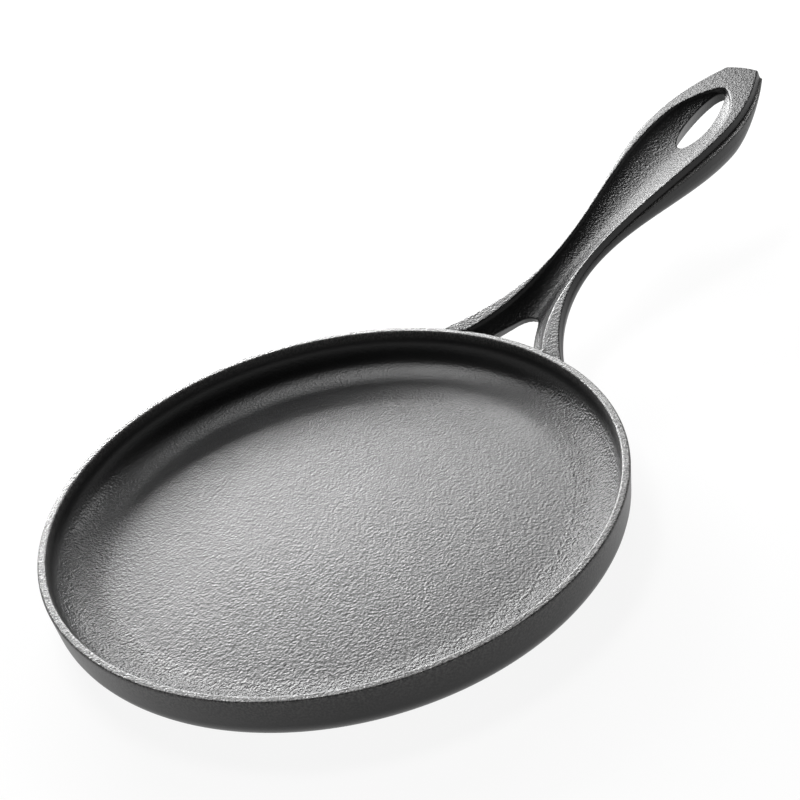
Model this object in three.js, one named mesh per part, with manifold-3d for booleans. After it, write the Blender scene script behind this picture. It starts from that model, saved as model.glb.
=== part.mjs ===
// Tapioca pan: one iron casting with a shallow round pan and a forked, channelled handle.
// Millimetres, +Z up. The origin is the centre of the flat base and the handle runs along +X.
import * as THREE from 'three';
import { mergeVertices } from 'three/addons/utils/BufferGeometryUtils.js';
import Module from 'manifold-3d';

// Pan, in millimetres and degrees.
const RIM_RADIUS = 110;
const PAN_HEIGHT = 19.4;
const WALL_DRAFT = 5;
const RIM_WIDTH = 3.2;
const RIM_EDGE = 0.8;
const BASE_CORNER = 9;
const FLOOR_THICKNESS = 4.5;
const INNER_DRAFT = 8;
const COVE_RISE = 11;
const COVE_REACH = 19;
const PAN_SEGMENTS = 96;
const PROFILE_STEPS = 8;

// Handle seen from above. Reaches are measured outward from the rim.
const HANDLE_REACH = 195.4;
const ROOT_HALF_WIDTH = 27;
const ROOT_FLARE = -0.77;
const NECK_REACH = 51.5;
const NECK_HALF_WIDTH = 8.7;
const PALM_REACH = 148;
const PALM_HALF_WIDTH = 20.1;
const TIP_HALF_WIDTH = 8.5;
const TIP_TAPER = -0.48;
const TIP_BULGE = 2.2;
const BULGE_ONSET = 4;
const ROOT_INSET = 8;
const STATION_SPACING = 5;
const SECTION_STEPS = 9;
const EDGE_STEPS = 3;

// Handle seen from the side. The top face rises in a bow from the rim to the tip.
const ROOT_LIFT = 1;
const TIP_RISE = 33.4;
const HANDLE_BOW = 3.6;
const ROOT_DEPTH = 12;
const NECK_DEPTH = 8.2;
const PALM_DEPTH = 18.8;
const TIP_DEPTH = 4.2;

// Handle section: a rounded top edge, a moulded ledge, then a full belly.
const TOP_EDGE = 0.6;
const LEDGE_DROP = 3.1;
const LEDGE_OUT_NECK = 1.2;
const LEDGE_OUT_PALM = 3.4;
const LEDGE_OUT_TIP = 2.6;
const UPPER_LEAN = 0.9;
const BELLY_FULLNESS = 3.3;

// Trough along the top of the handle, given by the flat bands left on both sides of it.
const BAND_ROOT = 9.4;
const BAND_ROOT_TAPER = -0.2;
const BAND_NECK = 1.4;
const BAND_END = 8;
const BAND_GROWTH = 2.5;
const TROUGH_TIP_MARGIN = 16.8;
const TROUGH_END_ROUND = 23;
const TROUGH_END_TURN = 85;
const TROUGH_END_STEPS = 6;
const TROUGH_ROOT_DEPTH = 8.5;
const TROUGH_NECK_DEPTH = 4.8;
const TROUGH_PALM_DEPTH = 7.3;
const TROUGH_END_DEPTH = 3.7;
const TROUGH_FULLNESS = 2.8;
const TROUGH_LIP = 0.7;

// Hanging eye through the far end of the trough.
const EYE_LENGTH = 37;
const EYE_HALF_WIDTH = 4.75;
const EYE_TIP_MARGIN = 17.4;
const EYE_WAIST_DROP = 2.5;
const EYE_DRAFT = 26;
const EYE_STEPS = 40;

// Open gap between the two fork arms.
const GAP_REACH = 22;
const GAP_HALF_WIDTH = 14.5;
const GAP_CROTCH = 7;
const GAP_CORNER = 3.2;
const GAP_WAIST_DROP = 5.8;
const GAP_DRAFT = 44;
const GAP_STEPS = 5;

// Where the casting is divided into its named regions.
const SPLIT_BEFORE_CROTCH = 7.5;
const SPLIT_BEFORE_EYE = 9.5;
const SEAM = 0.3;

// Points closer than this are one point.
const WELD = 1e-4;

const wasm = await Module();
wasm.setup();

const radians = THREE.MathUtils.degToRad;
const rootX = RIM_RADIUS;
const neckX = RIM_RADIUS + NECK_REACH;
const palmX = RIM_RADIUS + PALM_REACH;
const tipX = RIM_RADIUS + HANDLE_REACH;
const startX = RIM_RADIUS - ROOT_INSET;
const crotchX = RIM_RADIUS + GAP_REACH;
const eyeFarX = tipX - EYE_TIP_MARGIN;
const eyeNearX = eyeFarX - EYE_LENGTH;
const troughEndX = tipX - TROUGH_TIP_MARGIN;

// A smooth step between two values with given slopes at both ends.
function blend(x, x0, v0, m0, x1, v1, m1) {
  const length = x1 - x0;
  const s = (x - x0) / length;
  const rise = s * s * (3 - 2 * s);
  const leave = s * (1 - s) * (1 - s) * length * m0;
  const arrive = s * s * (s - 1) * length * m1;
  return v0 + (v1 - v0) * rise + leave + arrive;
}

// Half width of the top face along the handle.
function halfWidth(x) {
  if (x < neckX) {
    return blend(x, rootX, ROOT_HALF_WIDTH, ROOT_FLARE, neckX, NECK_HALF_WIDTH, 0);
  }
  if (x < palmX) {
    return blend(x, neckX, NECK_HALF_WIDTH, 0, palmX, PALM_HALF_WIDTH, 0);
  }
  return blend(x, palmX, PALM_HALF_WIDTH, 0, tipX, TIP_HALF_WIDTH, TIP_TAPER);
}

// Height of the top face along the handle.
function topHeight(x) {
  const s = (x - rootX) / HANDLE_REACH;
  return PAN_HEIGHT + ROOT_LIFT + TIP_RISE * s + 4 * HANDLE_BOW * s * (1 - s);
}

// Full depth of the section from the top face to the belly.
function depth(x) {
  if (x < neckX) {
    return blend(x, rootX, ROOT_DEPTH, 0, neckX, NECK_DEPTH, 0);
  }
  if (x < palmX) {
    return blend(x, neckX, NECK_DEPTH, 0, palmX, PALM_DEPTH, 0);
  }
  return blend(x, palmX, PALM_DEPTH, 0, tipX, TIP_DEPTH, 0);
}

// How far the belly stands out past the top face.
function ledgeOut(x) {
  if (x < palmX) {
    return blend(Math.max(x, neckX), neckX, LEDGE_OUT_NECK, 0, palmX, LEDGE_OUT_PALM, 0);
  }
  return blend(x, palmX, LEDGE_OUT_PALM, 0, tipX, LEDGE_OUT_TIP, 0);
}

// Width of the flat band beside the trough.
function band(x) {
  if (x < neckX) {
    return blend(x, rootX, BAND_ROOT, BAND_ROOT_TAPER, neckX, BAND_NECK, 0);
  }
  const s = (x - neckX) / (troughEndX - neckX);
  return BAND_NECK + (BAND_END - BAND_NECK) * s ** BAND_GROWTH;
}

// Half width of the trough, which closes in an oval at its far end.
function troughHalfWidth(x) {
  const past = Math.max(0, x - troughEndX + TROUGH_END_ROUND) / TROUGH_END_ROUND;
  return (halfWidth(x) - band(x)) * Math.sqrt(1 - past * past);
}

// Depth of the trough below the top face.
function troughDepth(x) {
  if (x < neckX) {
    return blend(x, rootX, TROUGH_ROOT_DEPTH, 0, neckX, TROUGH_NECK_DEPTH, 0);
  }
  if (x < palmX) {
    return blend(x, neckX, TROUGH_NECK_DEPTH, 0, palmX, TROUGH_PALM_DEPTH, 0);
  }
  return blend(x, palmX, TROUGH_PALM_DEPTH, 0, troughEndX, TROUGH_END_DEPTH, 0);
}

// A quarter of a rounded bowl curve: y goes from side to centre while z goes down.
function bowlQuarter(side, drop, fullness) {
  const points = [];
  for (let i = 0; i < SECTION_STEPS; i += 1) {
    const angle = (i / SECTION_STEPS) * Math.PI / 2;
    const y = side * Math.cos(angle) ** (2 / fullness);
    const z = -drop * Math.sin(angle) ** (2 / fullness);
    points.push(new THREE.Vector2(y, z));
  }
  points.push(new THREE.Vector2(0, -drop));
  return points;
}

// Turns a half section, listed from the top centre to the bottom centre, into a full ring.
function mirrored(half) {
  const near = half.map((p) => new THREE.Vector2(-p.x, p.y));
  return near.concat(half.slice(1, -1).reverse());
}

// Outer section of the handle at one station, as y and height points.
function bodySection(x) {
  const w = halfWidth(x);
  const out = ledgeOut(x);
  const half = [new THREE.Vector2(0, 0)];
  for (let i = 0; i <= EDGE_STEPS; i += 1) {
    const angle = (i / EDGE_STEPS) * Math.PI / 2;
    const y = w - TOP_EDGE + TOP_EDGE * Math.sin(angle);
    half.push(new THREE.Vector2(y, -TOP_EDGE + TOP_EDGE * Math.cos(angle)));
  }
  half.push(new THREE.Vector2(w + UPPER_LEAN, -LEDGE_DROP));
  const belly = bowlQuarter(w + out, depth(x) - LEDGE_DROP, BELLY_FULLNESS);
  for (const p of belly) {
    half.push(new THREE.Vector2(p.x, p.y - LEDGE_DROP));
  }
  return mirrored(half).map((p) => new THREE.Vector2(p.x, p.y + topHeight(x)));
}

// Section of the trough cutter, open well above the top face.
function troughSection(x) {
  const a = troughHalfWidth(x);
  const drop = troughDepth(x);
  const half = [new THREE.Vector2(0, drop)];
  half.push(new THREE.Vector2(a + TROUGH_LIP, drop));
  half.push(new THREE.Vector2(a + TROUGH_LIP, 0));
  const bowl = bowlQuarter(a, drop - TROUGH_LIP, TROUGH_FULLNESS);
  for (const p of bowl) {
    half.push(new THREE.Vector2(p.x, p.y - TROUGH_LIP));
  }
  return mirrored(half).map((p) => new THREE.Vector2(p.x, p.y + topHeight(x)));
}

// Skins a row of rings that all have the same number of points and closes both ends.
// Each ring runs counterclockwise when the row comes toward the viewer.
function loft(rings, capPlane) {
  const count = rings[0].length;
  const positions = rings.flat().flatMap((p) => [p.x, p.y, p.z]);
  const index = [];
  for (let r = 0; r + 1 < rings.length; r += 1) {
    for (let i = 0; i < count; i += 1) {
      const a = r * count + i;
      const b = r * count + (i + 1) % count;
      index.push(a, b, a + count);
      index.push(b, b + count, a + count);
    }
  }
  const caps = [rings[0], rings[rings.length - 1]];
  caps.forEach((ring, end) => {
    const base = end * (rings.length - 1) * count;
    for (const [a, b, c] of THREE.ShapeUtils.triangulateShape(ring.map(capPlane), [])) {
      const turned = end === 0 ? [a, c, b] : [a, b, c];
      index.push(...turned.map((k) => base + k));
    }
  });
  const geometry = new THREE.BufferGeometry();
  geometry.setAttribute('position', new THREE.Float32BufferAttribute(positions, 3));
  geometry.setIndex(index);
  return geometry;
}

// Solid for cutting and joining.
function solid(geometry) {
  const bare = geometry.clone();
  bare.deleteAttribute('normal');
  bare.deleteAttribute('uv');
  const welded = mergeVertices(bare, WELD);
  return new wasm.Manifold(new wasm.Mesh({
    numProp: 3,
    vertProperties: new Float32Array(welded.attributes.position.array),
    triVerts: new Uint32Array(welded.index.array),
  }));
}

// Geometry back from a solid, with flat-shaded faces.
function geometryOf(body) {
  const mesh = body.getMesh();
  const geometry = new THREE.BufferGeometry();
  geometry.setAttribute('position', new THREE.Float32BufferAttribute(mesh.vertProperties, 3));
  geometry.setIndex(new THREE.Uint32BufferAttribute(mesh.triVerts, 1));
  const facets = geometry.toNonIndexed();
  facets.computeVertexNormals();
  return facets;
}

// Revolves a profile of radius and height points about the pan's upright axis.
function revolve(points) {
  return new THREE.LatheGeometry(points, PAN_SEGMENTS).rotateX(Math.PI / 2);
}

// Pan profile: outer wall with its draft, rounded rim, inner wall and the broad cove.
const outerLean = Math.tan(radians(WALL_DRAFT));
const innerLean = Math.tan(radians(INNER_DRAFT));
const baseRadius = RIM_RADIUS - PAN_HEIGHT * outerLean;
const innerRim = RIM_RADIUS - RIM_WIDTH;
const wallLimit = PAN_HEIGHT - 2 * RIM_EDGE;
const baseCorner = Math.min(BASE_CORNER, wallLimit);
const coveTop = Math.min(FLOOR_THICKNESS + COVE_RISE, wallLimit);
const coveCorner = innerRim - (PAN_HEIGHT - FLOOR_THICKNESS) * innerLean;
const coveStart = innerRim - (PAN_HEIGHT - coveTop) * innerLean;
const floorRadius = coveCorner - COVE_REACH;

const wallProfile = new THREE.Path();
wallProfile.moveTo(floorRadius, 0);
wallProfile.lineTo(baseRadius - baseCorner, 0);
wallProfile.quadraticCurveTo(baseRadius, 0, baseRadius + baseCorner * outerLean, baseCorner);
wallProfile.lineTo(RIM_RADIUS - RIM_EDGE * outerLean, PAN_HEIGHT - RIM_EDGE);
wallProfile.quadraticCurveTo(RIM_RADIUS, PAN_HEIGHT, RIM_RADIUS - RIM_EDGE, PAN_HEIGHT);
wallProfile.lineTo(innerRim + RIM_EDGE, PAN_HEIGHT);
wallProfile.quadraticCurveTo(
  innerRim,
  PAN_HEIGHT,
  innerRim - RIM_EDGE * innerLean,
  PAN_HEIGHT - RIM_EDGE,
);
wallProfile.lineTo(coveStart, coveTop);
wallProfile.quadraticCurveTo(coveCorner, FLOOR_THICKNESS, floorRadius, FLOOR_THICKNESS);
wallProfile.lineTo(floorRadius, 0);
const wallGeometry = revolve(wallProfile.getPoints(PROFILE_STEPS));

const floorGeometry = revolve([
  new THREE.Vector2(0, 0),
  new THREE.Vector2(floorRadius, 0),
  new THREE.Vector2(floorRadius, FLOOR_THICKNESS),
  new THREE.Vector2(0, FLOOR_THICKNESS),
]);

// Room taken by the pan, used to end the fork arms just short of the outer wall.
const roomTop = PAN_HEIGHT + TIP_RISE;
const panRoom = solid(revolve([
  new THREE.Vector2(0, -PAN_HEIGHT),
  new THREE.Vector2(baseRadius + SEAM - PAN_HEIGHT * outerLean, -PAN_HEIGHT),
  new THREE.Vector2(RIM_RADIUS + SEAM, PAN_HEIGHT),
  new THREE.Vector2(RIM_RADIUS + SEAM, roomTop),
  new THREE.Vector2(0, roomTop),
]));

// Handle body: stations every few millimetres, the last one curved outward at the tip.
function stations(from, to) {
  const count = Math.ceil((to - from) / STATION_SPACING);
  return Array.from({ length: count + 1 }, (_, i) => from + (to - from) * i / count);
}
const sideways = (p) => new THREE.Vector2(p.y, p.z);
const bodyRings = stations(startX, tipX).map((x) => {
  const reach = Math.max(0, (x - palmX) / (tipX - palmX));
  const bulge = TIP_BULGE * reach ** BULGE_ONSET;
  const side = halfWidth(x) + ledgeOut(x);
  return bodySection(x).map((p) => {
    const ahead = bulge * (1 - (p.x / side) ** 2);
    return new THREE.Vector3(x + ahead, p.x, p.y);
  });
});
const handleBody = solid(loft(bodyRings, sideways));

// Trough cutter, with stations that close up around its oval end.
const roundX = troughEndX - TROUGH_END_ROUND;
const troughStations = stations(startX - SEAM, roundX);
for (let i = 1; i <= TROUGH_END_STEPS; i += 1) {
  const turn = radians(TROUGH_END_TURN) * i / TROUGH_END_STEPS;
  troughStations.push(roundX + TROUGH_END_ROUND * Math.sin(turn));
}
const troughRings = troughStations.map((x) => (
  troughSection(x).map((p) => new THREE.Vector3(x, p.x, p.y))
));
const trough = solid(loft(troughRings, sideways));

// Stacks one outline, lowest first, at several drops below the top face, each grown by a margin.
function stack(outline, levels) {
  return loft(levels.map(([drop, margin]) => (
    outline(margin).map((p) => new THREE.Vector3(p.x, p.y, topHeight(p.x) - drop))
  )), (p) => new THREE.Vector2(p.x, p.y));
}

// Oval of the hanging eye.
function eyeOutline(margin) {
  const oval = new THREE.EllipseCurve(
    (eyeNearX + eyeFarX) / 2,
    0,
    EYE_LENGTH / 2 + margin,
    EYE_HALF_WIDTH + margin,
    0,
    Math.PI * 2,
  );
  return oval.getPoints(EYE_STEPS).slice(0, -1);
}
const below = PALM_DEPTH + ROOT_DEPTH;
const eyeFlare = Math.tan(radians(EYE_DRAFT));
const eye = solid(stack(eyeOutline, [
  [below, (below - EYE_WAIST_DROP) * eyeFlare],
  [EYE_WAIST_DROP, 0],
  [-EYE_WAIST_DROP, 0],
]));

// Rounded triangle of the gap between the arms, wide at the wall and closed at the crotch.
function gapOutline(margin) {
  const wall = RIM_RADIUS - RIM_WIDTH;
  const side = GAP_HALF_WIDTH + margin;
  const end = crotchX + margin;
  const lean = side / (end - wall);
  const turn = (GAP_CROTCH + margin) / Math.hypot(1, lean);
  const shape = new THREE.Path();
  shape.moveTo(wall, side - GAP_CORNER);
  shape.lineTo(wall, -side + GAP_CORNER);
  shape.quadraticCurveTo(wall, -side, wall + GAP_CORNER, -side + GAP_CORNER * lean);
  shape.lineTo(end - turn, -turn * lean);
  shape.quadraticCurveTo(end, 0, end - turn, turn * lean);
  shape.lineTo(wall + GAP_CORNER, side - GAP_CORNER * lean);
  shape.quadraticCurveTo(wall, side, wall, side - GAP_CORNER);
  return shape.getPoints(GAP_STEPS).slice(0, -1);
}
const gapFlare = Math.tan(radians(GAP_DRAFT));
const gap = solid(stack(gapOutline, [
  [below, (below - GAP_WAIST_DROP) * gapFlare],
  [GAP_WAIST_DROP, 0],
  [-GAP_WAIST_DROP, 0],
]));

const handle = handleBody.subtract(trough).subtract(eye).subtract(gap).subtract(panRoom);

// Upright block between two stations, on one side of the handle or across it.
function block(x0, x1, y0, y1) {
  const tall = (PAN_HEIGHT + TIP_RISE) * 4;
  const box = new THREE.BoxGeometry(x1 - x0, y1 - y0, tall);
  return solid(box.translate((x0 + x1) / 2, (y0 + y1) / 2, 0));
}
const forkX = crotchX - SPLIT_BEFORE_CROTCH;
const eyeX = eyeNearX - SPLIT_BEFORE_EYE;
const wide = RIM_RADIUS;
const armLeft = handle.intersect(block(0, forkX, 0, wide));
const armRight = handle.intersect(block(0, forkX, -wide, 0));
const grip = handle.intersect(block(forkX, eyeX, -wide, wide));
const eyeEnd = handle.intersect(block(eyeX, tipX * 2, -wide, wide));

const group = new THREE.Group();
group.name = 'tapioca_pan';

function place(name, geometry, color) {
  const material = new THREE.MeshStandardMaterial({ color, roughness: 0.55, metalness: 0.6 });
  material.name = `${name}_iron`;
  const mesh = new THREE.Mesh(geometry, material);
  mesh.name = name;
  group.add(mesh);
}

place('cooking_floor', floorGeometry, 0x4a4b4d);
place('side_wall', wallGeometry, 0x3c3d3f);
place('fork_arm_left', geometryOf(armLeft), 0x434446);
place('fork_arm_right', geometryOf(armRight), 0x434446);
place('handle_grip', geometryOf(grip), 0x47484a);
place('hanging_eye', geometryOf(eyeEnd), 0x404143);

export default group;
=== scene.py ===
import math

import bmesh
import bpy
from mathutils import Matrix, Vector


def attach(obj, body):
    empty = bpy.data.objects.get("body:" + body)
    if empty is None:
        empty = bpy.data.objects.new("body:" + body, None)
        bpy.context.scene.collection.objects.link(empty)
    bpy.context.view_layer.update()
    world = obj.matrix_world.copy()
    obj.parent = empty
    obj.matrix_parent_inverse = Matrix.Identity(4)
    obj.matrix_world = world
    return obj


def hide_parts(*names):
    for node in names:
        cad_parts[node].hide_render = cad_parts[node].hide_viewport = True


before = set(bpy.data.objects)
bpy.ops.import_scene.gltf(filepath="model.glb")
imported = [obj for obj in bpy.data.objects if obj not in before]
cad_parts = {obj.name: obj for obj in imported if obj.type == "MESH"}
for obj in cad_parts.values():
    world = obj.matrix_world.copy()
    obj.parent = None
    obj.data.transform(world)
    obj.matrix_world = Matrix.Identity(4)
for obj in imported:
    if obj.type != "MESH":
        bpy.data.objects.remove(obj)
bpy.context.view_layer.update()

# Looks of the cast-iron tapioca pan. Shapes are drawn in millimetres and handed over in metres.
METRES = 0.001

# Pan
RIM_RADIUS = 110
PAN_HEIGHT = 19.4
WALL_DRAFT = 5
RIM_WIDTH = 3.2
RIM_EDGE = 0.8
BASE_ROUND = 8
FLOOR_THICKNESS = 4.5
INNER_DRAFT = 8
COVE_RISE = 11
COVE_REACH = 19
COVE_LOW_ROUND = 6
COVE_HIGH_ROUND = 5.5

# Handle from above, with reaches measured outward from the rim
HANDLE_REACH = 195.4
ROOT_HALF_WIDTH = 27
ROOT_FLARE = -0.77
NECK_REACH = 51.5
NECK_HALF_WIDTH = 8.7
PALM_REACH = 148
PALM_HALF_WIDTH = 20.1
TIP_HALF_WIDTH = 8.5
TIP_TAPER = -0.48
TIP_BULGE = 2.2
BULGE_ONSET = 4
ROOT_INSET = 8

# Handle from the side
ROOT_LIFT = 1
TIP_RISE = 33.4
HANDLE_BOW = 3.6
ROOT_DEPTH = 12
NECK_DEPTH = 8.2
PALM_DEPTH = 18.8
TIP_DEPTH = 4.2

# Handle section
TOP_SHARES = (0, 0.2, 0.4, 0.6, 0.8)
TIP_CAP_SHARES = (0.75, 0.5, 0.25)
TOP_EDGE = 0.6
LEDGE_DROP = 3.1
LEDGE_OUT_NECK = 1.2
LEDGE_OUT_PALM = 3.4
LEDGE_OUT_TIP = 2.6
UPPER_LEAN = 0.9
BELLY_FULLNESS = 3.3

# Trough, with bands left on both sides of it
BAND_ROOT = 9.4
BAND_ROOT_TAPER = -0.2
BAND_NECK = 1.4
BAND_END = 8
BAND_GROWTH = 2.5
TROUGH_TIP_MARGIN = 16.8
TROUGH_END_ROUND = 23
TROUGH_END_TURN = 85
TROUGH_OVERRUN = 1
TROUGH_ROOT_DEPTH = 8.5
TROUGH_NECK_DEPTH = 4.8
TROUGH_PALM_DEPTH = 7.3
TROUGH_END_DEPTH = 3.7
TROUGH_FULLNESS = 1.5
TROUGH_LIP = 0.7

# Hanging eye and fork gap
EYE_LENGTH = 37
EYE_HALF_WIDTH = 4.75
EYE_TIP_MARGIN = 17.4
EYE_WAIST_DROP = 2.5
EYE_DRAFT = 26
GAP_REACH = 22
GAP_HALF_WIDTH = 14.5
GAP_CROTCH = 7
GAP_CORNER = 3.2
GAP_WAIST_DROP = 5.8
GAP_DRAFT = 44

# How the handle grows out of the wall
ROOT_BITE = 0.8
ROOT_SKIN_DEPTH = 0.25
ROOT_SKIN_THICKNESS = 1.6
ROOT_SKIN_SPREAD = 21
ROOT_SKIN_BOTTOM = 9

# Fineness of the drawn shapes
PAN_STEPS = 288
PAN_ROUND_STEPS = 10
FLOOR_RINGS = 24
STATION_SPACING = 3
BOWL_STEPS = 12
TOP_EDGE_STEPS = 3
TROUGH_END_STEPS = 10
EYE_STEPS = 64
GAP_ROUND_STEPS = 8
ROOT_SKIN_STEPS = 40
ROUND_PROFILE = 0.5
SAME_POINT = 1e-3
CASTING_VOXEL = 0.32
CASTING_SOFTENING = 4
SOFTENING_SHARE = 0.5
HANDLE_DETAIL = 0.38

# Height of the grain in each place, as a share of GRAIN_HEIGHT. FAR_WAY leads away from the
# camera, seen from above.
FAR_WAY = (0.64, 0.77)
FAR_SIDE = (-0.2, 0.7)
FAR_COVE_RADII = (70, 84)
NEAR_COVE_RADII = (84, 94)
RIM_GRAIN_RADII = (104, 106)
FAR_COVE_LOSS = 0.65
NEAR_COVE_GAIN = 1.5
RIM_GRAIN = 0.8
LEAST_GRAIN = 0.12
PAN_FACING_UP = (0.2, 0.8)
HANDLE_FACING_UP = (0.35, 0.85)

# Paler rim top, partly seasoning worn thin and partly a painted highlight, and painted light on
# the handle ledge, which lies in shade
RIM_WEAR_AND_HIGHLIGHT_DROP = 1.4
RIM_FULL_WEAR_AND_HIGHLIGHT_DROP = 0.3
RIM_WEAR_AND_HIGHLIGHT_INSET = 5
RIM_FULL_WEAR_AND_HIGHLIGHT_INSET = 3
LEDGE_PAINTED_LIGHT_BLUR = 0.3
LEDGE_PAINTED_LIGHT_RISE = 1.6
LEDGE_FULL_PAINTED_LIGHT_RISE = 0.8
LEDGE_FACING_UP = (0.3, 0.8)

# Iron, with scales in marks per metre and the height of its grain in metres
PEBBLE_SCALE = 1250
PEBBLE_DETAIL = 2
SAND_SCALE = 920
SAND_SMOOTHNESS = 0.6
SAND_SHARE = 0.6
BLOTCH_SCALE = 45
BLOTCH_DETAIL = 4
NOISE_ROUGHNESS = 0.6
GRAIN_HEIGHT = 0.00026
# Pale colour on the rim top, partly worn seasoning and partly a painted highlight, and painted
# light on the handle ledge
PALE_SPOT_PEBBLES = (0.42, 0.62)
PALE_SPOT_SHARES = (0.25, 1)
OILED_DARK = (0.007, 0.007, 0.0073, 1)
OILED_PALE = (0.013, 0.013, 0.0133, 1)
PALE_WEAR_AND_PAINTED_LIGHT = (0.15, 0.148, 0.145, 1)
BLOTCH_RANGE = (0.3, 0.7)
ROUGHNESS_RANGE = (0.34, 0.38)
SPECULAR_LEVEL = 0.34

# White floor, in metres, as the camera shows it and as it lights the iron
BACKDROP_REACH = 30
BACKDROP_DROP = 0.0002
BACKDROP_SHADE = (0.11, 0.11, 0.11, 1)
BACKDROP_GLOW = 0.9
BACKDROP_BOUNCE = (0.5, 0.5, 0.5, 1)
WHITE = (1, 1, 1, 1)

# Lamps in metres, degrees and watts, and a room that is white up to a given height
PAN_CENTRE = (0, 0, 0)
GRIP_CENTRE = (0.22, 0, 0.047)
SOFTBOXES = {
    "back_softbox": {
        "target": PAN_CENTRE, "azimuth": 61, "elevation": 16, "distance": 1.3,
        "size": (0.8, 0.4), "power": 31,
    },
    "top_softbox": {
        "target": PAN_CENTRE, "azimuth": 68, "elevation": 58, "distance": 1.3,
        "size": (0.45, 0.3), "power": 7,
    },
    "grip_softbox": {
        "target": GRIP_CENTRE, "azimuth": 46, "elevation": 36, "distance": 0.3,
        "size": (0.2, 0.12), "power": 1.2,
    },
}
ROOM_HEIGHTS = (0.26, 0.32)
ROOM_GLOW = (1, 0.02)

# Camera of the photo: lens and sensor in millimetres, place in metres, turn in degrees
CAMERA_LENS = 70
CAMERA_SENSOR = 36
CAMERA_PLACE = (-0.29803, -0.36184, 0.34889)
CAMERA_TURN = (56.753, 10.5525, -50.2459)

# Sockets of a mix node that mixes colours
MIX_SHARE = 0
MIX_FIRST = 6
MIX_SECOND = 7
MIX_RESULT = 2

neck_x = RIM_RADIUS + NECK_REACH
palm_x = RIM_RADIUS + PALM_REACH
tip_x = RIM_RADIUS + HANDLE_REACH
start_x = RIM_RADIUS - ROOT_INSET
crotch_x = RIM_RADIUS + GAP_REACH
eye_far_x = tip_x - EYE_TIP_MARGIN
eye_near_x = eye_far_x - EYE_LENGTH
trough_end_x = tip_x - TROUGH_TIP_MARGIN
outer_lean = math.tan(math.radians(WALL_DRAFT))
inner_lean = math.tan(math.radians(INNER_DRAFT))


def place_camera():
    data = bpy.data.cameras.new("photo_camera")
    data.lens = CAMERA_LENS
    data.sensor_width = CAMERA_SENSOR
    camera = bpy.data.objects.new("photo_camera", data)
    camera.location = CAMERA_PLACE
    camera.rotation_euler = [math.radians(angle) for angle in CAMERA_TURN]
    bpy.context.collection.objects.link(camera)
    bpy.context.scene.camera = camera


def add_object(name, bm):
    mesh = bpy.data.meshes.new(name)
    bm.to_mesh(mesh)
    bm.free()
    piece = bpy.data.objects.new(name, mesh)
    bpy.context.collection.objects.link(piece)
    return piece


def smoothstep(low, high, value):
    s = min(max((value - low) / (high - low), 0), 1)
    return s * s * (3 - 2 * s)


def blend(x, x0, v0, m0, x1, v1, m1):
    """A smooth step between two values with given slopes at both ends."""
    length = x1 - x0
    s = (x - x0) / length
    rise = s * s * (3 - 2 * s)
    leave = s * (1 - s) ** 2 * length * m0
    arrive = s * s * (s - 1) * length * m1
    return v0 + (v1 - v0) * rise + leave + arrive


def half_width(x):
    if x < neck_x:
        return blend(x, RIM_RADIUS, ROOT_HALF_WIDTH, ROOT_FLARE, neck_x, NECK_HALF_WIDTH, 0)
    if x < palm_x:
        return blend(x, neck_x, NECK_HALF_WIDTH, 0, palm_x, PALM_HALF_WIDTH, 0)
    return blend(x, palm_x, PALM_HALF_WIDTH, 0, tip_x, TIP_HALF_WIDTH, TIP_TAPER)


def top_height(x):
    s = (x - RIM_RADIUS) / HANDLE_REACH
    return PAN_HEIGHT + ROOT_LIFT + TIP_RISE * s + 4 * HANDLE_BOW * s * (1 - s)


def depth(x):
    if x < neck_x:
        return blend(x, RIM_RADIUS, ROOT_DEPTH, 0, neck_x, NECK_DEPTH, 0)
    if x < palm_x:
        return blend(x, neck_x, NECK_DEPTH, 0, palm_x, PALM_DEPTH, 0)
    return blend(x, palm_x, PALM_DEPTH, 0, tip_x, TIP_DEPTH, 0)


def ledge_out(x):
    if x < palm_x:
        return blend(max(x, neck_x), neck_x, LEDGE_OUT_NECK, 0, palm_x, LEDGE_OUT_PALM, 0)
    return blend(x, palm_x, LEDGE_OUT_PALM, 0, tip_x, LEDGE_OUT_TIP, 0)


def band(x):
    if x < neck_x:
        return blend(x, RIM_RADIUS, BAND_ROOT, BAND_ROOT_TAPER, neck_x, BAND_NECK, 0)
    s = (x - neck_x) / (trough_end_x - neck_x)
    return BAND_NECK + (BAND_END - BAND_NECK) * s ** BAND_GROWTH


def trough_half_width(x):
    """Half width of the trough, which closes in an oval at its far end."""
    past = max(0, x - trough_end_x + TROUGH_END_ROUND) / TROUGH_END_ROUND
    return (half_width(x) - band(x)) * math.sqrt(1 - past ** 2)


def trough_depth(x):
    if x < neck_x:
        return blend(x, RIM_RADIUS, TROUGH_ROOT_DEPTH, 0, neck_x, TROUGH_NECK_DEPTH, 0)
    if x < palm_x:
        return blend(x, neck_x, TROUGH_NECK_DEPTH, 0, palm_x, TROUGH_PALM_DEPTH, 0)
    return blend(x, palm_x, TROUGH_PALM_DEPTH, 0, trough_end_x, TROUGH_END_DEPTH, 0)


def bowl_quarter(side, drop, fullness):
    """Points of a rounded bowl from its side down to its middle."""
    angles = [step / BOWL_STEPS * math.pi / 2 for step in range(BOWL_STEPS)]
    points = [
        (side * math.cos(a) ** (2 / fullness), -drop * math.sin(a) ** (2 / fullness))
        for a in angles
    ]
    return points + [(0, -drop)]


def mirrored(half):
    """A full ring from a half section that runs from the top middle to the bottom middle."""
    return [(-y, z) for y, z in half] + half[-2:0:-1]


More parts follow.
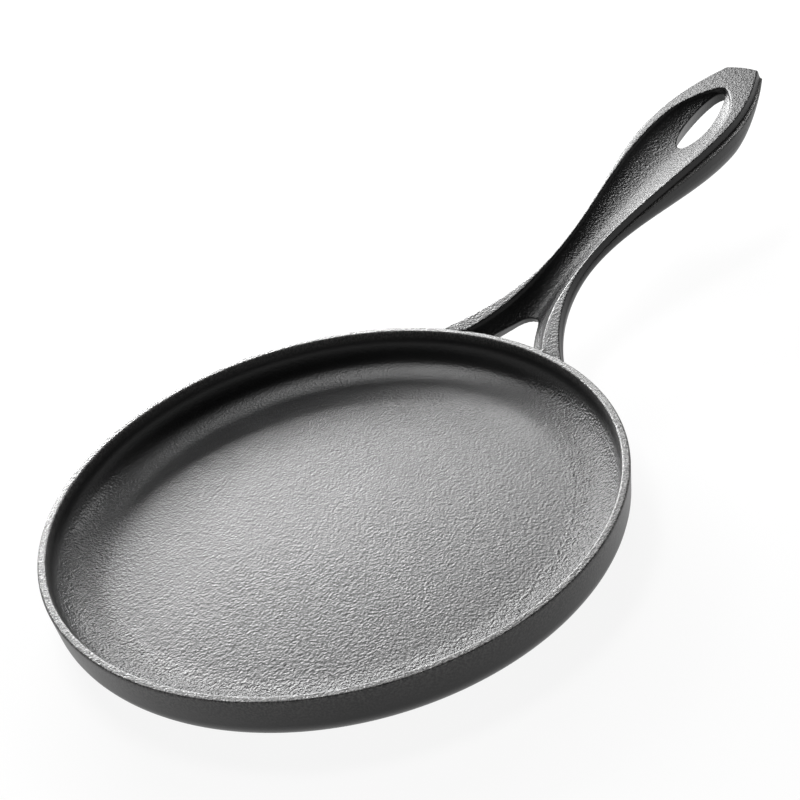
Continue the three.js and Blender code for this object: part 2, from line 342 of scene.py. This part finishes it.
def body_section(x):
    w = half_width(x)
    half = [(w * share, 0) for share in TOP_SHARES]
    for step in range(TOP_EDGE_STEPS + 1):
        angle = step / TOP_EDGE_STEPS * math.pi / 2
        half.append((w - TOP_EDGE + TOP_EDGE * math.sin(angle), TOP_EDGE * (math.cos(angle) - 1)))
    half.append((w + UPPER_LEAN, -LEDGE_DROP))
    belly = bowl_quarter(w + ledge_out(x), depth(x) - LEDGE_DROP, BELLY_FULLNESS)
    half += [(y, z - LEDGE_DROP) for y, z in belly]
    return [(y, z + top_height(x)) for y, z in mirrored(half)]


def trough_section(x):
    a = trough_half_width(x)
    drop = trough_depth(x)
    half = [(0, drop), (a + TROUGH_LIP, drop), (a + TROUGH_LIP, 0)]
    half += [(y, z - TROUGH_LIP) for y, z in bowl_quarter(a, drop - TROUGH_LIP, TROUGH_FULLNESS)]
    return [(y, z + top_height(x)) for y, z in mirrored(half)]


def stations(start, end):
    count = math.ceil((end - start) / STATION_SPACING)
    return [start + (end - start) * i / count for i in range(count + 1)]


def draw_ring(bm, points):
    verts = [bm.verts.new(point) for point in points]
    return [bm.edges.new(pair) for pair in zip(verts, verts[1:] + verts[:1])]


def skin_rings(bm, rings):
    """Bridges the rings in order and closes both ends."""
    for near, far in zip(rings, rings[1:]):
        bmesh.ops.bridge_loops(bm, edges=near + far)
    for end in (rings[0], rings[-1]):
        bmesh.ops.holes_fill(bm, edges=end)
    bmesh.ops.recalc_face_normals(bm, faces=bm.faces)


def bulged(x, section):
    """Points of a section that bows outward in its middle towards the tip."""
    bulge = TIP_BULGE * max(0, (x - palm_x) / (tip_x - palm_x)) ** BULGE_ONSET
    side = half_width(x) + ledge_out(x)
    return [(x + bulge * (1 - (y / side) ** 2), y, z) for y, z in section]


def make_handle_body():
    bm = bmesh.new()
    rings = [draw_ring(bm, bulged(x, body_section(x))) for x in stations(start_x, tip_x)]
    middle = top_height(tip_x) - TIP_DEPTH / 2
    for share in TIP_CAP_SHARES:
        cap = [(y * share, middle + (z - middle) * share) for y, z in body_section(tip_x)]
        rings.append(draw_ring(bm, bulged(tip_x, cap)))
    skin_rings(bm, rings)
    return add_object("handle_body", bm)


def make_trough_cutter():
    bm = bmesh.new()
    round_x = trough_end_x - TROUGH_END_ROUND
    places = stations(start_x - TROUGH_OVERRUN, round_x)
    for step in range(1, TROUGH_END_STEPS + 1):
        turn = math.radians(TROUGH_END_TURN) * step / TROUGH_END_STEPS
        places.append(round_x + TROUGH_END_ROUND * math.sin(turn))
    rings = [draw_ring(bm, [(x, y, z) for y, z in trough_section(x)]) for x in places]
    skin_rings(bm, rings)
    return add_object("trough_cutter", bm)


def round_corner(bm, vert, offset, steps):
    bmesh.ops.bevel(
        bm, geom=[vert], offset=offset, affect="VERTICES", segments=steps, profile=ROUND_PROFILE,
        material=-1,
    )


def edges_at(verts):
    """The edges at these points, each once and always in the same order."""
    return list(dict.fromkeys(edge for vert in verts for edge in vert.link_edges))


def follow_top(verts, drop):
    for vert in verts:
        vert.co.z = top_height(vert.co.x) - drop


def flared_levels(waist_drop, draft):
    """Drops below the top face, with how much wider an opening is there than at its waist."""
    below = PALM_DEPTH + ROOT_DEPTH
    flare = (below - waist_drop) * math.tan(math.radians(draft))
    return [(below, flare), (waist_drop, 0), (-waist_drop, 0)]


def make_eye_cutter():
    bm = bmesh.new()
    rings = []
    for drop, margin in flared_levels(EYE_WAIST_DROP, EYE_DRAFT):
        verts = bmesh.ops.create_circle(bm, segments=EYE_STEPS, radius=1)["verts"]
        size = (EYE_LENGTH / 2 + margin, EYE_HALF_WIDTH + margin, 1)
        bmesh.ops.scale(bm, verts=verts, vec=size)
        bmesh.ops.translate(bm, verts=verts, vec=((eye_near_x + eye_far_x) / 2, 0, 0))
        follow_top(verts, drop)
        rings.append(edges_at(verts))
    skin_rings(bm, rings)
    return add_object("eye_cutter", bm)


def make_gap_cutter():
    bm = bmesh.new()
    rings = []
    wall_x = RIM_RADIUS - RIM_WIDTH
    for drop, margin in flared_levels(GAP_WAIST_DROP, GAP_DRAFT):
        side = GAP_HALF_WIDTH + margin
        known = set(bm.verts)
        corners = [(wall_x, -side, 0), (crotch_x + margin, 0, 0), (wall_x, side, 0)]
        rounds = (GAP_CORNER, GAP_CROTCH + margin, GAP_CORNER)
        draw_ring(bm, corners)
        triangle = [vert for vert in bm.verts if vert not in known]
        for vert, offset in zip(triangle, rounds):
            round_corner(bm, vert, offset, GAP_ROUND_STEPS)
        verts = [vert for vert in bm.verts if vert not in known]
        follow_top(verts, drop)
        rings.append(edges_at(verts))
    skin_rings(bm, rings)
    return add_object("gap_cutter", bm)


def wall_radius(z):
    return RIM_RADIUS - (PAN_HEIGHT - z) * outer_lean


def make_pan_room():
    """Cone that ends the fork arms just inside the outer wall."""
    bm = bmesh.new()
    low, high = -PAN_HEIGHT, PAN_HEIGHT + TIP_RISE
    cone = bmesh.ops.create_cone(
        bm, cap_ends=True, segments=PAN_STEPS, depth=high - low,
        radius1=wall_radius(low) - ROOT_BITE, radius2=wall_radius(high) - ROOT_BITE,
    )
    bmesh.ops.translate(bm, verts=cone["verts"], vec=(0, 0, (low + high) / 2))
    return add_object("pan_room", bm)


def make_root_skin():
    """Strip hidden in the wall, so that softening leaves a fillet where the arms meet it."""
    bm = bmesh.new()
    low, high = ROOT_SKIN_BOTTOM, PAN_HEIGHT - ROOT_SKIN_DEPTH
    low_radius = wall_radius(low) - ROOT_SKIN_DEPTH
    high_radius = wall_radius(high) - ROOT_SKIN_DEPTH
    edges = draw_ring(bm, [
        (low_radius - ROOT_SKIN_THICKNESS, 0, low),
        (low_radius, 0, low),
        (high_radius, 0, high),
        (high_radius - ROOT_SKIN_THICKNESS, 0, high),
    ])
    verts = bm.verts[:]
    spread = math.radians(ROOT_SKIN_SPREAD)
    start = Matrix.Rotation(-spread, 3, "Z")
    bmesh.ops.rotate(bm, verts=verts, cent=(0, 0, 0), matrix=start)
    bmesh.ops.spin(
        bm, geom=edges + verts, cent=(0, 0, 0), axis=(0, 0, 1), angle=2 * spread,
        steps=ROOT_SKIN_STEPS,
    )
    bmesh.ops.holes_fill(bm, edges=[edge for edge in bm.edges if edge.is_boundary])
    bmesh.ops.recalc_face_normals(bm, faces=bm.faces)
    return add_object("root_skin", bm)


def apply_modifiers(piece):
    view = bpy.context.evaluated_depsgraph_get()
    old = piece.data
    piece.data = bpy.data.meshes.new_from_object(piece.evaluated_get(view))
    piece.modifiers.clear()
    bpy.data.meshes.remove(old)


def carve(piece, tool, operation):
    modifier = piece.modifiers.new(tool.name, "BOOLEAN")
    modifier.operation = operation
    modifier.solver = "MANIFOLD"
    modifier.object = tool
    apply_modifiers(piece)
    bpy.data.meshes.remove(tool.data)


def soften_casting(piece):
    """One even skin over the joined shapes, with every edge rounded as sand casting leaves it."""
    remesh = piece.modifiers.new("casting_skin", "REMESH")
    remesh.mode = "VOXEL"
    remesh.voxel_size = CASTING_VOXEL
    apply_modifiers(piece)
    bm = bmesh.new()
    bm.from_mesh(piece.data)
    for _ in range(CASTING_SOFTENING):
        bmesh.ops.smooth_vert(
            bm, verts=bm.verts, factor=SOFTENING_SHARE,
            use_axis_x=True, use_axis_y=True, use_axis_z=True,
        )
    bm.to_mesh(piece.data)
    bm.free()
    thin = piece.modifiers.new("lighter_skin", "DECIMATE")
    thin.ratio = HANDLE_DETAIL
    apply_modifiers(piece)


def make_handle():
    handle = make_handle_body()
    carve(handle, make_trough_cutter(), "DIFFERENCE")
    carve(handle, make_eye_cutter(), "DIFFERENCE")
    carve(handle, make_gap_cutter(), "DIFFERENCE")
    carve(handle, make_pan_room(), "DIFFERENCE")
    carve(handle, make_root_skin(), "UNION")
    soften_casting(handle)
    handle.name = "forked_handle"
    return handle


def make_pan():
    bm = bmesh.new()
    base_radius = wall_radius(0)
    inner_rim = RIM_RADIUS - RIM_WIDTH
    cove_top = FLOOR_THICKNESS + COVE_RISE
    cove_corner = inner_rim - (PAN_HEIGHT - FLOOR_THICKNESS) * inner_lean
    cove_start = inner_rim - (PAN_HEIGHT - cove_top) * inner_lean
    floor_radius = cove_corner - COVE_REACH
    cove_low = ((cove_corner + floor_radius) / 2, FLOOR_THICKNESS)
    cove_high = ((cove_start + cove_corner) / 2, (cove_top + FLOOR_THICKNESS) / 2)
    corners = [
        (0, FLOOR_THICKNESS, 0),
        (*cove_low, COVE_LOW_ROUND),
        (*cove_high, COVE_HIGH_ROUND),
        (inner_rim, PAN_HEIGHT, RIM_EDGE),
        (RIM_RADIUS, PAN_HEIGHT, RIM_EDGE),
        (base_radius, 0, BASE_ROUND),
        (0, 0, 0),
    ]
    verts = [bm.verts.new((radius, 0, z)) for radius, z, _ in corners]
    for pair in zip(verts, verts[1:]):
        bm.edges.new(pair)
    for vert, (_, _, offset) in zip(verts, corners):
        if offset:
            round_corner(bm, vert, offset, PAN_ROUND_STEPS)
    flats = [edge for edge in bm.edges if edge.calc_length() > floor_radius / 2]
    bmesh.ops.subdivide_edges(bm, edges=flats, cuts=FLOOR_RINGS)
    bmesh.ops.spin(
        bm, geom=bm.verts[:] + bm.edges[:], cent=(0, 0, 0), axis=(0, 0, 1),
        angle=2 * math.pi, steps=PAN_STEPS, use_merge=True,
    )
    bmesh.ops.remove_doubles(bm, verts=bm.verts, dist=SAME_POINT)
    bmesh.ops.recalc_face_normals(bm, faces=bm.faces)
    return add_object("pan_bowl", bm)


def mark_surface(piece, name, amount):
    """Stores how much of a finish each point has, from its place in millimetres and its normal."""
    values = piece.data.attributes.new(name, "FLOAT", "POINT").data
    for vert, value in zip(piece.data.vertices, values):
        value.value = amount(vert.co, vert.normal)


def pan_grain(co, normal):
    """Finer in the far cove than on the floor, coarser in the near cove, faint on the sides."""
    radius = math.hypot(co.x, co.y)
    farness = (co.x * FAR_WAY[0] + co.y * FAR_WAY[1]) / RIM_RADIUS
    far_side = smoothstep(*FAR_SIDE, farness)
    far_cove = far_side * smoothstep(*FAR_COVE_RADII, radius)
    near_cove = (1 - far_side) * smoothstep(*NEAR_COVE_RADII, radius)
    rim = smoothstep(*RIM_GRAIN_RADII, radius)
    inside = 1 - FAR_COVE_LOSS * far_cove + NEAR_COVE_GAIN * near_cove
    grain = inside * (1 - rim) + RIM_GRAIN * rim
    return max(grain * smoothstep(*PAN_FACING_UP, normal.z), LEAST_GRAIN)


def handle_grain(_, normal):
    return max(smoothstep(*HANDLE_FACING_UP, normal.z), LEAST_GRAIN)


# Rim top, painted paler: partly seasoning worn thin, partly a painted highlight
def rim_wear_and_highlight(co, _):
    low, high = PAN_HEIGHT - RIM_WEAR_AND_HIGHLIGHT_DROP, PAN_HEIGHT - RIM_FULL_WEAR_AND_HIGHLIGHT_DROP
    inner, outer = RIM_RADIUS - RIM_WEAR_AND_HIGHLIGHT_INSET, RIM_RADIUS - RIM_FULL_WEAR_AND_HIGHLIGHT_INSET
    return smoothstep(low, high, co.z) * smoothstep(inner, outer, math.hypot(co.x, co.y))


# Handle ledge beside the upper side, painted paler as light on a ledge that lies in shade, more
# where it faces up
def ledge_painted_light(co, normal):
    inner, outer = UPPER_LEAN - LEDGE_PAINTED_LIGHT_BLUR, UPPER_LEAN + LEDGE_PAINTED_LIGHT_BLUR
    beside = smoothstep(inner, outer, abs(co.y) - half_width(co.x))
    high, low = LEDGE_DROP - LEDGE_PAINTED_LIGHT_RISE, LEDGE_DROP - LEDGE_FULL_PAINTED_LIGHT_RISE
    below = smoothstep(high, low, top_height(co.x) - co.z)
    return beside * below * smoothstep(*LEDGE_FACING_UP, normal.z)


def add_node(tree, kind, inputs, **settings):
    node = tree.nodes.new(kind)
    for key, value in settings.items():
        setattr(node, key, value)
    for key, value in inputs.items():
        if isinstance(value, bpy.types.NodeSocket):
            tree.links.new(value, node.inputs[key])
        else:
            node.inputs[key].default_value = value
    return node


def new_material(name):
    material = bpy.data.materials.new(name)
    material.use_nodes = True
    material.node_tree.nodes.clear()
    return material, material.node_tree


def mix_colours(tree, share, first, second):
    inputs = {MIX_SHARE: share, MIX_FIRST: first, MIX_SECOND: second}
    return add_node(tree, "ShaderNodeMix", inputs, data_type="RGBA").outputs[MIX_RESULT]


def combine(tree, operation, *values):
    inputs = dict(enumerate(values))
    return add_node(tree, "ShaderNodeMath", inputs, operation=operation).outputs[0]


def map_range(tree, value, known, wanted):
    inputs = {
        "Value": value,
        "From Min": known[0],
        "From Max": known[1],
        "To Min": wanted[0],
        "To Max": wanted[1],
    }
    return add_node(tree, "ShaderNodeMapRange", inputs).outputs["Result"]


def read_mark(tree, name):
    return add_node(tree, "ShaderNodeAttribute", {}, attribute_name=name).outputs["Fac"]


def noise(tree, place, scale, detail):
    inputs = {"Vector": place, "Scale": scale, "Detail": detail, "Roughness": NOISE_ROUGHNESS}
    return add_node(tree, "ShaderNodeTexNoise", inputs).outputs["Fac"]


def make_iron():
    material, tree = new_material("seasoned_cast_iron")
    place = add_node(tree, "ShaderNodeTexCoord", {}).outputs["Object"]
    pebbles = noise(tree, place, PEBBLE_SCALE, PEBBLE_DETAIL)
    blotches = noise(tree, place, BLOTCH_SCALE, BLOTCH_DETAIL)
    sand = add_node(
        tree, "ShaderNodeTexVoronoi",
        {"Vector": place, "Scale": SAND_SCALE, "Smoothness": SAND_SMOOTHNESS},
        feature="SMOOTH_F1",
    ).outputs["Distance"]
    casting = combine(tree, "MULTIPLY_ADD", sand, SAND_SHARE, pebbles)
    lumps = combine(tree, "MULTIPLY", casting, read_mark(tree, "grain"))
    bump = add_node(
        tree, "ShaderNodeBump", {"Height": lumps, "Strength": 1, "Distance": GRAIN_HEIGHT},
    )
    # Pale iron in spots where the mark is set: on the rim partly worn seasoning and partly a
    # painted highlight, on the ledge painted light
    pale_spots = map_range(tree, pebbles, PALE_SPOT_PEBBLES, PALE_SPOT_SHARES)
    pale_share = combine(tree, "MULTIPLY", read_mark(tree, "wear_and_painted_light"), pale_spots)
    oiled = mix_colours(tree, blotches, OILED_DARK, OILED_PALE)
    shader = add_node(
        tree, "ShaderNodeBsdfPrincipled",
        {
            "Base Color": mix_colours(tree, pale_share, oiled, PALE_WEAR_AND_PAINTED_LIGHT),
            "Roughness": map_range(tree, blotches, BLOTCH_RANGE, ROUGHNESS_RANGE),
            "Specular IOR Level": SPECULAR_LEVEL,
            "Normal": bump.outputs[0],
        },
    )
    add_node(tree, "ShaderNodeOutputMaterial", {"Surface": shader.outputs[0]})
    return material


def background_ray(tree):
    """1 for rays that show the background itself, straight, mirrored or through something."""
    rays = add_node(tree, "ShaderNodeLightPath", {}).outputs
    seen = combine(tree, "MAXIMUM", rays["Is Camera Ray"], rays["Is Glossy Ray"])
    return combine(tree, "MAXIMUM", seen, rays["Is Transmission Ray"])


def make_floor():
    bm = bmesh.new()
    bmesh.ops.create_grid(bm, x_segments=1, y_segments=1, size=BACKDROP_REACH)
    bmesh.ops.translate(bm, verts=bm.verts, vec=(0, 0, -BACKDROP_DROP))
    floor = add_object("white_floor", bm)
    material, tree = new_material("white_floor")
    lit = add_node(tree, "ShaderNodeBsdfDiffuse", {"Color": BACKDROP_SHADE})
    glow = add_node(tree, "ShaderNodeEmission", {"Color": WHITE, "Strength": BACKDROP_GLOW})
    shown = add_node(tree, "ShaderNodeAddShader", {0: lit.outputs[0], 1: glow.outputs[0]})
    bounce = add_node(tree, "ShaderNodeBsdfDiffuse", {"Color": BACKDROP_BOUNCE})
    mix = add_node(
        tree, "ShaderNodeMixShader",
        {0: background_ray(tree), 1: bounce.outputs[0], 2: shown.outputs[0]},
    )
    add_node(tree, "ShaderNodeOutputMaterial", {"Surface": mix.outputs[0]})
    floor.data.materials.append(material)


def add_softbox(name, target, azimuth, elevation, distance, size, power):
    """A flat lamp of a given width and height that looks at its target from a distance."""
    turn, rise = math.radians(azimuth), math.radians(elevation)
    away = Vector((
        math.cos(rise) * math.cos(turn), math.cos(rise) * math.sin(turn), math.sin(rise),
    ))
    data = bpy.data.lights.new(name, "AREA")
    data.shape = "RECTANGLE"
    data.size, data.size_y = size
    data.energy = power
    light = bpy.data.objects.new(name, data)
    light.location = Vector(target) + distance * away
    light.visible_camera = False
    light.rotation_euler = away.to_track_quat("Z", "Y").to_euler()
    bpy.context.collection.objects.link(light)


def light_studio():
    for name, settings in SOFTBOXES.items():
        add_softbox(name, **settings)
    world = bpy.data.worlds.new("studio")
    world.use_nodes = True
    tree = world.node_tree
    tree.nodes.clear()
    direction = add_node(tree, "ShaderNodeTexCoord", {}).outputs["Generated"]
    height = add_node(tree, "ShaderNodeSeparateXYZ", {0: direction}).outputs["Z"]
    glow = map_range(tree, height, ROOM_HEIGHTS, ROOM_GLOW)
    shader = add_node(tree, "ShaderNodeBackground", {"Color": WHITE, "Strength": glow})
    add_node(tree, "ShaderNodeOutputWorld", {"Surface": shader.outputs[0]})
    bpy.context.scene.world = world


def finish_piece(piece, iron, nodes):
    piece.data.materials.clear()
    piece.data.materials.append(iron)
    piece.data.shade_smooth()
    bm = bmesh.new()
    bm.from_mesh(piece.data)
    bmesh.ops.scale(bm, verts=bm.verts, vec=(METRES, METRES, METRES))
    bm.to_mesh(piece.data)
    bm.free()
    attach(piece, "root")
    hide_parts(*nodes)


place_camera()
iron = make_iron()

pan = make_pan()
mark_surface(pan, "grain", pan_grain)
# Rim top: partly worn seasoning, partly a painted highlight
mark_surface(pan, "wear_and_painted_light", rim_wear_and_highlight)
finish_piece(pan, iron, ["cooking_floor", "side_wall"])

handle = make_handle()
mark_surface(handle, "grain", handle_grain)
# Handle ledge: painted light
mark_surface(handle, "wear_and_painted_light", ledge_painted_light)
finish_piece(handle, iron, ["fork_arm_left", "fork_arm_right", "handle_grip", "hanging_eye"])

make_floor()
light_studio()
bpy.context.scene.view_settings.view_transform = "Standard"
